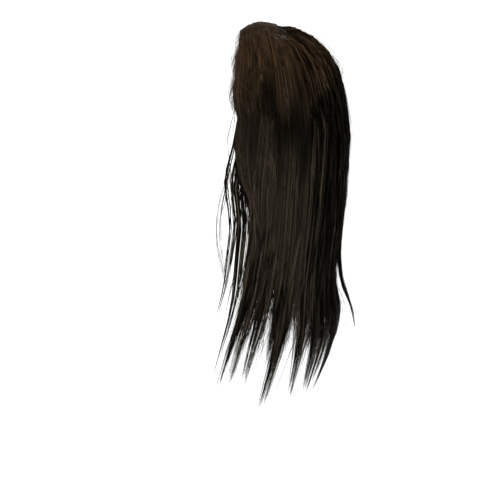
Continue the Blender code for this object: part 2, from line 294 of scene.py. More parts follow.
def head_ring(out, front, front_down, side_down, back_down, side_hair, back_hair):
    return Ring(
        mix(OPENING_HALF_WIDTH, HEAD_HALF_WIDTH, out),
        HEAD_WAIST * out,
        mix(OPENING_BACK, HEAD_BACK, out),
        FRONT_REACH * front,
        front_down,
        side_down,
        back_down,
        0.0,
        side_hair,
        back_hair,
    )


def fall_ring(fall, side, waist, back, front, side_hair, back_hair):
    return Ring(
        HEAD_HALF_WIDTH * side,
        HEAD_BACK * waist,
        HEAD_BACK * back,
        FRONT_REACH * front,
        1.0 - fall,
        1.0 - fall,
        1.0 - fall,
        fall,
        side_hair,
        back_hair,
    )


RINGS = np.array(
    [
        head_ring(0.00, 0.72, 0.080, -0.006, 0.028, 0.22, 0.12),
        head_ring(0.30, 0.74, 0.185, 0.072, 0.096, 0.34, 0.72),
        head_ring(0.60, 0.76, 0.375, 0.280, 0.222, 0.66, 0.86),
        head_ring(0.83, 0.92, 0.610, 0.560, 0.393, 0.56, 0.80),
        head_ring(0.96, 0.90, 0.800, 0.795, 0.630, 0.50, 0.76),
        head_ring(1.00, 0.78, 1.000, 1.000, 1.000, 0.58, 1.24),
        fall_ring(0.10, 0.995, 0.17, 0.967, 0.98, 0.67, 1.50),
        fall_ring(0.20, 0.950, 0.15, 0.967, 1.22, 0.72, 1.45),
        fall_ring(0.32, 0.890, 0.13, 0.967, 1.06, 0.67, 1.18),
        fall_ring(0.45, 0.840, 0.09, 0.944, 1.06, 0.62, 1.00),
        fall_ring(0.58, 0.805, 0.04, 0.950, 0.96, 0.58, 0.98),
        fall_ring(0.70, 0.820, -0.02, 1.030, 0.98, 0.58, 1.15),
        fall_ring(0.82, 0.890, -0.09, 1.000, 1.05, 0.50, 0.90),
        fall_ring(1.00, 1.000, -0.15, 0.822, 1.05, 0.30, 0.45),
    ]
)
FALLS = (0.0, 0.10, 0.20, 0.32, 0.45, 0.58, 0.70, 0.82, 1.00)
RIM_LEVEL = 5.0
LAST_LEVEL = len(RINGS) - 1

# Locks from the front edge to the middle of the back. start and end are angles, slit is the share of the fall
# where the lock parts from the next one, and reach its length as a share of the fall. sweep swings the tip
# forward and flare lifts it off the body.
Lock = namedtuple("Lock", "start end slit reach sweep flare")
LEFT_LOCKS = (
    Lock(115, 110, 0.36, 0.72, 0.55, 0.30),
    Lock(110, 104, 0.58, 0.90, 0.62, 0.45),
    Lock(104, 97, 0.67, 0.92, 0.66, 0.55),
    Lock(97, 90, 0.58, 0.90, 0.55, 0.50),
    Lock(90, 82, 0.67, 0.89, 0.45, 0.60),
    Lock(82, 73, 0.58, 0.84, 0.18, 0.25),
    Lock(73, 63, 0.67, 0.99, 0.62, 0.85),
    Lock(63, 52, 0.76, 0.95, 0.14, 0.30),
    Lock(52, 41, 0.58, 1.00, 0.05, 0.15),
)
BACK_LOCKS = (
    Lock(41, 28, 0.67, 0.97, 0.05, -0.10),
    Lock(28, 14, 0.58, 1.00, 0.00, -0.20),
    Lock(14, 0, 0.48, 0.76, -0.10, 0.95),
    Lock(0, -13, 0.67, 0.97, 0.00, 0.00),
    Lock(-13, -27, 0.58, 0.92, -0.06, 0.35),
    Lock(-27, -41, 0.67, 1.00, 0.05, -0.10),
)
RIGHT_LOCKS = (
    Lock(-41, -52, 0.76, 0.94, 0.05, 0.25),
    Lock(-52, -63, 0.58, 0.98, 0.15, 0.30),
    Lock(-63, -73, 0.67, 0.90, 0.32, 0.50),
    Lock(-73, -82, 0.58, 0.97, 0.34, 0.50),
    Lock(-82, -90, 0.67, 0.88, 0.38, 0.40),
    Lock(-90, -97, 0.58, 0.95, 0.42, 0.50),
    Lock(-97, -104, 0.58, 0.88, 0.42, 0.40),
    Lock(-104, -110, 0.67, 0.92, 0.42, 0.30),
    Lock(-110, -115, 0.36, 0.74, 0.40, 0.25),
)
NAPE_LOCKS = (
    Lock(97, 90, 0.48, 0.76, 0.20, 0.00),
    Lock(90, 82, 0.58, 0.80, 0.20, 0.00),
    Lock(82, 73, 0.67, 0.84, 0.15, 0.00),
    Lock(73, 63, 0.58, 0.80, 0.10, 0.00),
    Lock(63, 52, 0.67, 0.88, 0.10, 0.00),
    Lock(52, 41, 0.58, 0.82, 0.05, 0.00),
    Lock(41, 28, 0.67, 0.90, 0.00, 0.00),
    Lock(28, 14, 0.58, 0.84, 0.00, 0.00),
    Lock(14, 0, 0.67, 0.86, 0.00, 0.00),
    Lock(0, -13, 0.58, 0.82, 0.00, 0.00),
    Lock(-13, -27, 0.67, 0.88, 0.00, 0.00),
    Lock(-27, -41, 0.58, 0.84, 0.00, 0.00),
    Lock(-41, -52, 0.67, 0.88, 0.05, 0.00),
    Lock(-52, -63, 0.58, 0.80, 0.10, 0.00),
    Lock(-63, -73, 0.67, 0.86, 0.10, 0.00),
    Lock(-73, -82, 0.58, 0.78, 0.15, 0.00),
    Lock(-82, -90, 0.67, 0.82, 0.20, 0.00),
    Lock(-90, -97, 0.48, 0.74, 0.20, 0.00),
)


def round_mix(angle, front, side, back):
    """A value that changes round the head, from the front edge past the side to the middle of the back."""
    turn = np.cos(np.radians(angle))
    to_front = mix(side, front, turn / math.cos(math.radians(FRONT_ANGLE)))
    return np.where(np.abs(angle) > SIDE_ANGLE, to_front, mix(side, back, turn**2))


def ring_values(level):
    """The rings' values between the rings, on a smooth curve through them."""
    level = np.clip(level, 0.0, LAST_LEVEL)
    first = np.minimum(level.astype(int), LAST_LEVEL - 1)
    share = (level - first)[..., None]
    before = RINGS[np.maximum(first - 1, 0)]
    start = RINGS[first]
    end = RINGS[first + 1]
    after = RINGS[np.minimum(first + 2, LAST_LEVEL)]
    square = share * share
    cube = square * share
    curve = (
        start * (2 * cube - 3 * square + 1)
        + (end - before) * 0.5 * (cube - 2 * square + share)
        + end * (3 * square - 2 * cube)
        + (after - start) * 0.5 * (cube - square)
    )
    return Ring(*np.moveaxis(curve, -1, 0))


def head_surface(angle, level):
    ring = ring_values(level)
    turn = np.radians(angle)
    to_front = (ring.waist + ring.front) / -math.cos(math.radians(FRONT_ANGLE))
    depth = np.where(np.abs(angle) > SIDE_ANGLE, to_front, ring.back - ring.waist)
    rim = round_mix(angle, RIM_FRONT_DROP, RIM_SIDE_DROP, RIM_BACK_DROP)
    down = rim * round_mix(angle, ring.front_down, ring.side_down, ring.back_down) + HAIR_REACH * ring.fall
    return np.stack([ring.half_width * np.sin(turn), ring.waist + depth * np.cos(turn), -down], axis=-1)


def unit(vectors):
    return vectors / np.maximum(np.linalg.norm(vectors, axis=-1, keepdims=True), 1e-12)


def outward(angle, level):
    low = np.maximum(level - STEP, 0.0)
    high = np.minimum(level + STEP, LAST_LEVEL)
    round_head = head_surface(angle + STEP, level) - head_surface(angle - STEP, level)
    down_head = head_surface(angle, high) - head_surface(angle, low)
    return unit(np.cross(round_head, down_head))


def over_cap():
    return CAP_WALL + PIECE_GAP


def hair_depth(angle, level):
    ring = ring_values(level)
    front = ring.side_hair * (1.0 - FRONT_THINNING)
    return over_cap() + HAIR_DEPTH * round_mix(angle, front, ring.side_hair, ring.back_hair)


def split_depth(angle, level):
    """The depth where the nape hair ends and the long outer hair begins."""
    parted = over_cap() + (hair_depth(angle, level) - over_cap()) * NAPE_SHARE
    return mix(over_cap(), parted, ease((level - NAPE_TOP_LEVEL + NAPE_PARTING_OVER) / NAPE_PARTING_OVER))


def outer_hair(angle, level):
    return split_depth(angle, level), hair_depth(angle, level)


def nape_hair(angle, level):
    inner = mix(over_cap(), 0.0, ease(level - RIM_LEVEL))
    return inner, split_depth(angle, level) - LAYER_PARTING * ease(level - RIM_LEVEL)


def bundles(angle, level):
    """Soft long ridges and hollows, a few degrees across, from 0 in a hollow to 1 on a ridge."""
    turn = np.radians(angle)
    shift = sum(
        bend.size * np.sin(bend.down * level + bend.round * turn + bend.start) for bend in RIDGE_BENDS
    )
    waves = sum(
        ridge.weight * np.sin(ridge.count * (turn + ridge.bend * shift) + ridge.drift * level + ridge.start)
        for ridge in RIDGES
    )
    return ease(0.5 + waves / RIDGE_SOFTNESS)


def painted_light_and_shade(points):
    """Painted shade on the hair in a band round the head and at the back, painted light on the back's tips.
    """
    across, back, down = points[..., 0], points[..., 1], -points[..., 2]
    wander = BAND_WANDER * sum(np.sin(by_back * back + by_side * across) for by_back, by_side in BAND_RIPPLES)
    from_band = (down + wander - BAND_HEIGHT) / BAND_SPREAD
    band = 1.0 - BAND_SHADE * np.exp(-(from_band**2)) * ease((back - BAND_FROM) / BAND_OVER)
    behind = ease((back - BACK_SHADE_FROM) / BACK_SHADE_OVER)
    shaded = mix(1.0, BACK_PAINTED_SHADE, ease((down + wander) / BACK_SHADE_DROP))
    shaded = shaded + TIP_LIGHT * ease((down - TIP_LIGHT_FROM) / TIP_LIGHT_OVER)
    return band * mix(1.0, shaded, behind)


# Strands of one group: their middle lines, which way is outward at each stop, a width and a roll for each
# strand, and a shade at each stop
Strands = namedtuple("Strands", "lines normals width roll shade")


def clip_window(angle, level):
    """How fully a place lies in the open window over a clip, where the hair has to stay flat on the cap."""
    widest, narrowest = CLIP_WINDOW_ANGLES
    to_front = widest + WINDOW_FADE_ANGLE - np.abs(angle)
    to_back = np.abs(angle) - narrowest - CLIP_COVER
    around = ease(to_front / WINDOW_FADE_ANGLE) * ease(to_back / WINDOW_FADE_ANGLE)
    return around * ease((CLIP_WINDOW_END + WINDOW_FADE_LEVEL - level) / WINDOW_FADE_LEVEL)


def hair_depths(layer, angle, level, lift, thinning):
    """The depths of strands in a layer of hair. lift runs from 0 on its inner face to 1 on its outer face."""
    low, high = layer(angle, level)
    depth = (low + high) / 2.0 + (lift - 0.5) * (high - low) * thinning
    near_front = ease((np.abs(angle) - TOP_LOFT_FROM) / TOP_LOFT_OVER)
    loft = TOP_LOFT * ease(1.0 - level / TOP_LOFT_LEVEL) * near_front
    flat = over_cap() + WINDOW_HAIR_GAP + WINDOW_HAIR_DEPTH * lift
    return mix(depth + loft * lift, np.minimum(depth, flat), clip_window(angle, level))


def drawn_back(angle, share, from_angle, pull):
    """The angle of front hair, drawn back below the rim to the closer hair. share runs down the fall."""
    past = np.maximum(np.abs(angle) - from_angle, 0.0)
    return angle - np.sign(angle) * past * pull * ease((share - GATHER_FROM) / GATHER_OVER)


# A panel of strands. uneven is how much of their length the shortest tresses lack. sparse is the angle past
# which the hair thins out below the rim, and the share of its tresses that stay there.
Panel = namedtuple("Panel", "name locks count top_level layer uneven sparse stands_for")


def panel_strands(panel, rng):
    """Strands side by side in thin tresses, which cross a little and gather into the locks further down."""
    table = np.array(panel.locks, dtype=float)
    spans = np.abs(table[:, 0] - table[:, 1])
    edges = np.concatenate([[0.0], np.cumsum(spans)])
    tresses = panel.count // TRESS_STRANDS
    spot = (np.arange(tresses) + rng.uniform(0.0, 1.0, tresses)) / tresses * edges[-1]
    owner = np.clip(np.searchsorted(edges, spot, side="right") - 1, 0, len(table) - 1)
    across = (spot - edges[owner]) / spans[owner] * 2.0 - 1.0

    starts = np.array([panel.top_level, *[level for level in WEFT_LEVELS if level > panel.top_level]])
    weights = np.array([TOP_SHARE * (len(starts) - 1), *[1.0] * (len(starts) - 1)])
    start = rng.choice(starts, tresses, p=weights / weights.sum())
    lift = rng.uniform(0.0, 1.0, tresses) ** TRESS_LIFT_CURVE
    short = panel.uneven * rng.uniform(0.0, 1.0, tresses) ** SHORT_CURVE
    tip = 1.0 - short * mix(SHORT_AT_MIDDLE, 1.0, np.abs(across))
    gathered = rng.uniform(0.0, 1.0, tresses) > panel.sparse[1]
    loose = rng.uniform(0.0, 1.0, tresses) < LOOSE_SHARE

    points = (len(table), POINTS_PER_LOCK)
    point = (across + 1.0) / 2.0 * POINTS_PER_LOCK + rng.normal(0.0, POINT_MIX, tresses)
    point = np.clip(point.astype(int), 0, POINTS_PER_LOCK - 1)
    point_at = (point + 0.5) / POINTS_PER_LOCK * 2.0 - 1.0
    point_at = point_at * POINT_SPREAD + rng.normal(0.0, POINT_WOBBLE, points)[owner, point]
    tip = tip * rng.uniform(*POINT_REACHES, points)[owner, point]
    tip = tip * np.where(loose, rng.uniform(*LOOSE_REACHES, tresses), 1.0)
    point_slit = rng.uniform(*POINT_SLITS, points)[owner, point]

    drift = rng.normal(0.0, TRESS_DRIFT, tresses)
    lean = rng.normal(0.0, TRESS_DRIFT, tresses)
    lean = lean * np.where(rng.uniform(0.0, 1.0, tresses) < LEANING_SHARE, LEANING_MORE, 1.0)
    turns = rng.uniform(*TRESS_TURNS, tresses)
    phase = rng.uniform(0.0, 1.0, tresses)
    swathes = int(edges[-1] / SWATHE_ANGLE)
    swathe = (spot / edges[-1] * swathes + rng.normal(0.0, SWATHE_MIX, tresses)).astype(int)
    swathe = np.clip(swathe, 0, swathes - 1)
    swathe_drift = rng.normal(0.0, SWATHE_DRIFT, swathes)[swathe]
    swathe_turns = rng.uniform(*SWATHE_TURNS, swathes)[swathe]
    swathe_phase = rng.uniform(0.0, 1.0, swathes)[swathe]
    swathe_lift = rng.uniform(-SWATHE_LIFT, SWATHE_LIFT, swathes)[swathe]
    swathe_shade = rng.uniform(*SWATHE_SHADES, swathes)[swathe]
    tress_roll = rng.normal(0.0, TRESS_ROLL, tresses)
    tress_shade = rng.uniform(0.0, 1.0, tresses)

    tress = np.repeat(np.arange(tresses), TRESS_STRANDS)
    count = len(tress)
    lock = table[owner[tress]]
    slit, reach, sweep, flare = (lock[:, column, None] for column in (2, 3, 4, 5))
    start = start[tress] + rng.uniform(0.0, STRAND_ROOT, count)
    tip = np.minimum(tip[tress], 1.0) - rng.uniform(0.0, STRAND_SHORT, count)
    offset = rng.normal(0.0, TRESS_SPREAD, count)[:, None]

    on_head = start[:, None] + (RIM_LEVEL - start[:, None]) * np.linspace(0.0, 1.0, HEAD_STOPS)
    share = tip[:, None] * np.linspace(0.0, 1.0, FALL_STOPS + 1)[1:]
    fall = share * mix(1.0, reach, ease(share / REACH_OVER))
    level = np.concatenate([on_head, RIM_LEVEL + np.interp(fall, FALLS, range(len(FALLS)))], axis=1)
    share = np.concatenate([np.zeros_like(on_head), share], axis=1)
    run = level / LAST_LEVEL

    slit = slit - SLIT_RISE + point_slit[tress, None]
    taper = np.maximum((share - slit) / (1.0 - slit), 0.0) * np.where(loose, LOOSE_TAPER, 1.0)[tress, None]
    half = (spans[owner[tress]] / 2.0)[:, None]
    middle = ((lock[:, 0] + lock[:, 1]) / 2.0)[:, None]
    side = np.sign(lock[:, 0] - lock[:, 1])[:, None]
    wave = drift[tress, None] * np.sin(2.0 * np.pi * (turns[tress, None] * run + phase[tress, None]))
    swathe_wave = np.sin(2.0 * np.pi * (swathe_turns[tress, None] * run + swathe_phase[tress, None]))
    wave = wave + swathe_drift[tress, None] * swathe_wave * ease(level / RIM_LEVEL)
    calm_from, calm_to = CALM_ANGLES
    calm = ease((np.abs(middle - side * across[tress, None] * half) - calm_from) / (calm_to - calm_from))
    wander = wave + lean[tress, None] * (run - LEAN_PIVOT)
    wander = wander * (1.0 - TIP_WANDER_LOSS * taper) * (1.0 - CALM_WANDER_LOSS * calm)
    drawn = point_at[tress, None] + (across - point_at)[tress, None] * TIP_WIDTH_SHARE
    place = half * mix(across[tress, None], drawn, ease(taper))
    spread = offset * mix(1.0, TRESS_TIP_SPREAD, taper) * (1.0 - CALM_SPREAD_LOSS * calm)
    angle = middle - side * place + wander + spread
    limit = FRONT_ANGLE + FRONT_SPILL * share
    angle = np.clip(angle, -limit, limit)
    pull = (rng.uniform(*TRESS_PULLS, tresses) * gathered)[tress, None]
    angle = drawn_back(angle, share, panel.sparse[0], pull)

    rise = ease((level - start[:, None] + ROOT_SINK) / ROOT_RISE_OVER)
    own_lift = (lift + swathe_lift)[tress, None] + rng.normal(0.0, STRAND_LIFT, count)[:, None]
    weave = WEAVE_TURNS * turns[tress, None] * run + WEAVE_PHASES * phase[tress, None]
    weave = WEAVE_LIFT * np.sin(2.0 * np.pi * weave)
    ridge = bundles(angle, level)
    at = (own_lift + weave * (1.0 - calm)) * mix(mix(HOLLOW_LIFT, 1.0, ridge), CALM_LIFT, calm)
    at = np.clip(at, 0.0, 1.0) * rise
    depth = hair_depths(panel.layer, angle, level, at, mix(1.0, TIP_DEPTH_SHARE, taper))
    normals = outward(angle, level)
    swing = np.maximum((share - SWEEP_START) / (1.0 - SWEEP_START), 0.0)[..., None] ** SWEEP_CURVE
    lines = head_surface(angle, level) + normals * depth[..., None]
    lines = lines + np.array([0.0, -TIP_SWEEP, 0.0]) * sweep[..., None] * swing
    lines = lines + normals * TIP_FLARE * flare[..., None] * swing

    width = STRAND_WIDTH * rng.uniform(*STRAND_WIDTH_SHARES, count)
    roll = TRESS_ROLL_SHARE * tress_roll[tress] + rng.normal(0.0, STRAND_ROLL, count)
    roll = np.clip(roll, -ROLL_LIMIT, ROLL_LIMIT) * (1.0 - CALM_ROLL_LOSS * calm[:, 0])
    least, more = TRESS_SHADES
    shade = least + more * tress_shade[tress] ** TRESS_SHADE_CURVE
    shade = shade + STRAND_SHADE * rng.uniform(-1.0, 1.0, count)
    # Painted shade in the hollows between the ridges and painted light on the ridges
    hollow_painted_shade, ridge_painted_light = RIDGE_PAINTED_SHADES
    shade = shade[:, None] * swathe_shade[tress, None] * (hollow_painted_shade + ridge_painted_light * ridge)
    return Strands(lines, normals, width, roll, shade)


def one_shade(limits, lines, rng):
    """The same shade all along each strand, drawn between the two limits."""
    return np.repeat(rng.uniform(*limits, (len(lines), 1)), lines.shape[1], axis=1)


def flyaways(count, rng):
    """Single strands that stand off the hair's face for a short way."""
    angle = rng.uniform(-FRONT_ANGLE, FRONT_ANGLE, count)
    first = rng.uniform(FLY_FIRST_LEVEL, LAST_LEVEL - FLY_START_MARGIN, count)
    reach = rng.uniform(*FLY_LEVELS, count)
    stops = np.linspace(0.0, 1.0, FLY_STOPS)[None, :]
    level = np.minimum(first[:, None] + reach[:, None] * stops, LAST_LEVEL - FLY_END_MARGIN)
    bend = rng.normal(0.0, FLY_CURL, (count, 1)) * stops**2
    bend = bend + rng.normal(0.0, FLY_WAVE_SIZE, (count, 1)) * np.sin(FLY_WAVE_RATE * stops)
    angle = np.clip(angle[:, None] + bend, -FRONT_ANGLE, FRONT_ANGLE)
    angle = drawn_back(angle, (level - RIM_LEVEL) / FLY_GATHER_LEVELS, FAR_SPARSE[0], 1.0)
    over_clip = clip_window(angle, level).max(axis=1, keepdims=True) > 0.0
    lift = rng.uniform(*FLY_LIFTS, (count, 1)) * np.where(over_clip, FLY_WINDOW_LIFT, 1.0)
    lift = lift * np.sin(np.pi * stops * rng.uniform(*FLY_BULGES, (count, 1)))
    depth = hair_depths(outer_hair, angle, level, FLY_DEPTH, 1.0) + lift
    normals = outward(angle, level)
    lines = head_surface(angle, level) + normals * depth[..., None]
    shade = one_shade(FLY_SHADES, lines, rng)
    width = FLY_WIDTH_SHARE * STRAND_WIDTH * np.ones(count)
    return Strands(lines, normals, width, rng.normal(0.0, STRAND_ROLL, count), shade)


def far_wisp(count, rng):
    """A few strands that leave the far side's front edge, bow forward and come back to it lower down."""
    share = np.linspace(0.0, 1.0, WISP_STOPS)[None, :]
    start = WISP_TOP + rng.normal(0.0, WISP_UNEVEN_TOP, (count, 1))
    end = WISP_END + rng.normal(0.0, WISP_UNEVEN_END, (count, 1))
    bow = WISP_BOW * np.where(np.arange(count) % 3 == 0, 1.0, rng.uniform(*WISP_BOW_SHARES, count))[:, None]
    forward = WISP_FRONT + bow * np.sin(np.pi * share) + rng.normal(0.0, WISP_FRONT_SPREAD, (count, 1))
    side = np.broadcast_to(WISP_SIDE + rng.normal(0.0, WISP_SIDE_SPREAD, (count, 1)), forward.shape)
    lines = np.stack([-side, -forward, -mix(start, end, share)], axis=-1)
    normals = np.broadcast_to(np.array([-1.0, 0.0, 0.0]), lines.shape)
    shade = one_shade(WISP_SHADES, lines, rng)
    width = WISP_WIDTH_SHARE * STRAND_WIDTH * np.ones(count)
    return Strands(lines, normals, width, rng.normal(0.0, WISP_ROLL, count), shade)


def temple_strands(count, rng):
    """Short loose strands that curve forward off both front edges."""
    near = np.where(np.arange(count) % 2 == 0, 1.0, -1.0)[:, None]
    share = np.linspace(0.0, 1.0, FLY_STOPS)[None, :]
    level = rng.uniform(*TEMPLE_STARTS, (count, 1)) + rng.uniform(*TEMPLE_LEVELS, (count, 1)) * share
    angle = near * (FRONT_ANGLE - rng.uniform(0.0, TEMPLE_INSET, (count, 1)) * (1.0 - share))
    normals = outward(angle, level)
    depth = hair_depths(outer_hair, angle, level, TEMPLE_DEPTH, 1.0)
    lines = head_surface(angle, level) + normals * depth[..., None]
    bow = rng.uniform(*TEMPLE_BOWS, (count, 1))
    lines[..., 1] -= bow * np.sin(np.pi * share * rng.uniform(*TEMPLE_BULGES, (count, 1)))
    shade = one_shade(TEMPLE_SHADES, lines, rng)
    width = TEMPLE_WIDTH_SHARE * STRAND_WIDTH * np.ones(count)
    return Strands(lines, normals, width, rng.normal(0.0, STRAND_ROLL, count), shade)


def crown_veil(count, rng):
    """Sparse strands from the far edge that cross over the front of the opening and fall on the near side."""
    narrow, wide = VEIL_ANGLES
    leave = rng.uniform(narrow, wide, count)
    nearest = narrow + VEIL_LANDING + np.abs(rng.normal(0.0, VEIL_LANDING_SPREAD, count))
    land = np.minimum(np.maximum(leave + rng.normal(*VEIL_SHIFT, count), nearest), wide)
    far = np.full(count, VEIL_FAR_LEVEL)
    start = head_surface(-leave, far) + outward(-leave, far) * (over_cap() + VEIL_FAR_DEPTH)
    first_level = rng.uniform(*VEIL_NEAR_LEVELS, count)
    tip = rng.uniform(*VEIL_REACHES, count)
    fall = tip[:, None] * np.linspace(0.0, 1.0, VEIL_STOPS)[1:] * VEIL_FALL
    down_head = np.linspace(0.0, 1.0, VEIL_HEAD_STOPS)
    on_head = first_level[:, None] + (RIM_LEVEL - first_level[:, None]) * down_head
    level = np.concatenate([on_head, RIM_LEVEL + np.interp(fall, FALLS, range(len(FALLS)))], axis=1)
    drift = rng.normal(0.0, VEIL_DRIFT, (count, 1)) * level / LAST_LEVEL
    down_fall = np.concatenate([np.zeros_like(on_head), fall], axis=1)
    angle = np.minimum(land[:, None] + drift, FRONT_ANGLE)
    angle = drawn_back(angle, down_fall, NEAR_SPARSE[0] - VEIL_PULL_FROM, 1.0)
    depth = hair_depths(outer_hair, angle, level, rng.uniform(*VEIL_DEPTHS, count)[:, None], 1.0)
    down_normals = outward(angle, level)
    down = head_surface(angle, level) + down_normals * depth[..., None]

    share = np.linspace(0.0, 1.0, VEIL_STOPS)[:-1][None, :]
    arch = mix(start[:, None, :], down[:, :1, :], share[..., None])
    from_middle = arch[..., 1] - VEIL_MIDDLE
    bend = np.where(from_middle < 0.0, VEIL_FRONT_BEND, VEIL_BACK_BEND)
    ridge = VEIL_TOP - from_middle**2 / (2.0 * bend) - rng.uniform(0.0, VEIL_THICKNESS, (count, 1))
    height = ridge - arch[..., 0] ** 2 / (2.0 * VEIL_BEND)
    blend_in, blend_out = VEIL_BLENDS
    blend = ease(share / blend_in) * ease((1.0 - share) / blend_out)
    arch[..., 2] = mix(arch[..., 2], np.maximum(height, arch[..., 2]), blend)
    up = np.zeros_like(arch)
    up[..., 2] = 1.0
    arch_normals = unit(up + arch * np.array([VEIL_LEAN, 0.0, 0.0]))
    lines = np.concatenate([arch, down], axis=1)
    normals = np.concatenate([arch_normals, down_normals], axis=1)
    width = STRAND_WIDTH * rng.uniform(*VEIL_WIDTH_SHARES, count)
    roll = rng.normal(0.0, STRAND_ROLL, count)
    return Strands(lines, normals, width, roll, one_shade(VEIL_SHADES, lines, rng))


def ribbons(name, strands, material):
    """Every strand as a thin ribbon that narrows to its tip, all in one mesh."""
    count, stops, _ = strands.lines.shape
    along = unit(np.gradient(strands.lines, axis=1))
    side = unit(np.cross(strands.normals, along))
    face = np.cross(along, side)
    roll = strands.roll[:, None, None]
    turned = side * np.cos(roll) + face * np.sin(roll)
    run = np.linspace(0.0, 1.0, stops)
    profile = np.interp(run, RIBBON_STOPS, RIBBON_WIDTHS)
    half = (strands.width[:, None] * profile / 2.0)[..., None]
    corners = np.stack([strands.lines - turned * half, strands.lines + turned * half], axis=2)

    first = (np.arange(count) * stops * 2)[:, None] + np.arange(stops - 1) * 2
    quads = np.stack([first, first + 1, first + 3, first + 2], axis=-1).reshape(-1)
    uv = np.zeros((count, stops, 2, 2))
    # U is each strand's own shade times the painted light and shade over the head
    uv[..., 0] = np.clip(strands.shade * painted_light_and_shade(strands.lines), 0.0, 1.0)[:, :, None]
    uv[..., 1] = run[None, :, None]
    uv = uv.reshape(-1, 2)[quads]

    mesh = bpy.data.meshes.new(name)
    mesh.vertices.add(count * stops * 2)
    mesh.vertices.foreach_set("co", corners.reshape(-1).astype(np.float32))
    mesh.loops.add(len(quads))
    mesh.loops.foreach_set("vertex_index", quads.astype(np.int32))
    mesh.polygons.add(len(quads) // 4)
    mesh.polygons.foreach_set("loop_start", np.arange(0, len(quads), 4, dtype=np.int32))
    mesh.update(calc_edges=True)
    mesh.uv_layers.new(name="strand").uv.foreach_set("vector", uv.reshape(-1).astype(np.float32))
    mesh.materials.append(material)
    mesh.shade_smooth()
    made = bpy.data.objects.new(name, mesh)
    bpy.context.scene.collection.objects.link(made)
    return made


def node(tree, kind, **settings):
    made = tree.nodes.new(kind)
    for key, value in settings.items():
        if key in made.inputs:
            made.inputs[key].default_value = value
        else:
            setattr(made, key, value)
    return made


def colour_ramp(tree, stops):
    ramp = tree.nodes.new("ShaderNodeValToRGB")
    while len(ramp.color_ramp.elements) > 1:
        ramp.color_ramp.elements.remove(ramp.color_ramp.elements[-1])
    for index, (position, colour) in enumerate(stops):
        element = ramp.color_ramp.elements[0] if index == 0 else ramp.color_ramp.elements.new(position)
        element.position = position
        element.color = (*colour, 1.0)
    return ramp


def new_material(name):
    material = bpy.data.materials.new(name)
    material.use_nodes = True
    return material, material.node_tree, material.node_tree.nodes["Principled BSDF"]


def hair_finish():
    """Dark brown hair: each strand its own shade, with painted warm light towards the top and a fine grain
    along it.
    """
    material, tree, shader = new_material("hair_strands")
    link = tree.links.new
    uv = node(tree, "ShaderNodeUVMap", uv_map="strand")
    parts = node(tree, "ShaderNodeSeparateXYZ")
    link(uv.outputs["UV"], parts.inputs[0])
    body = colour_ramp(
        tree,
        (
            (0.0, (0.0008, 0.0005, 0.0003)),
            (0.25, (0.0050, 0.0036, 0.0022)),
            (0.6, (0.0195, 0.0142, 0.0096)),
            (1.0, (0.0540, 0.0415, 0.0300)),
        ),
    )
    link(parts.outputs["X"], body.inputs["Fac"])
    # Painted warm light on the top of the head: warmer colours blended in towards the top
    crown = colour_ramp(
        tree,
        (
            (0.0, (0.0012, 0.0006, 0.0003)),
            (0.25, (0.0080, 0.0044, 0.0022)),
            (0.6, (0.0250, 0.0135, 0.0060)),
            (1.0, (0.0600, 0.0350, 0.0175)),
        ),
    )
    link(parts.outputs["X"], crown.inputs["Fac"])
    place = node(tree, "ShaderNodeTexCoord")
    height = node(tree, "ShaderNodeSeparateXYZ")
    link(place.outputs["Object"], height.inputs[0])
    warm_from, warm_to = TOP_PAINTED_LIGHT_HEIGHTS
    top = node(tree, "ShaderNodeMapRange", **{"From Min": warm_from, "From Max": warm_to})
    link(height.outputs["Z"], top.inputs["Value"])
    blend = node(tree, "ShaderNodeMix", data_type="RGBA")
    link(top.outputs["Result"], blend.inputs["Factor"])
    link(body.outputs["Color"], blend.inputs["A"])
    link(crown.outputs["Color"], blend.inputs["B"])
    link(blend.outputs["Result"], shader.inputs["Base Color"])
    shader.inputs["Specular IOR Level"].default_value = 0.018
    rough = node(tree, "ShaderNodeMapRange", **{"To Min": 0.32, "To Max": 0.5})
    link(parts.outputs["X"], rough.inputs["Value"])
    link(rough.outputs["Result"], shader.inputs["Roughness"])
    stretch = node(tree, "ShaderNodeMapping")
    stretch.inputs["Scale"].default_value = (2200.0, 2200.0, 90.0)
    link(place.outputs["Object"], stretch.inputs["Vector"])
    grain = node(tree, "ShaderNodeTexNoise", Scale=1.0, Detail=1.0)
    link(stretch.outputs["Vector"], grain.inputs["Vector"])
    bump = node(tree, "ShaderNodeBump", Strength=0.3, Distance=0.0001)
    link(grain.outputs["Fac"], bump.inputs["Height"])
    link(bump.outputs["Normal"], shader.inputs["Normal"])
    return material


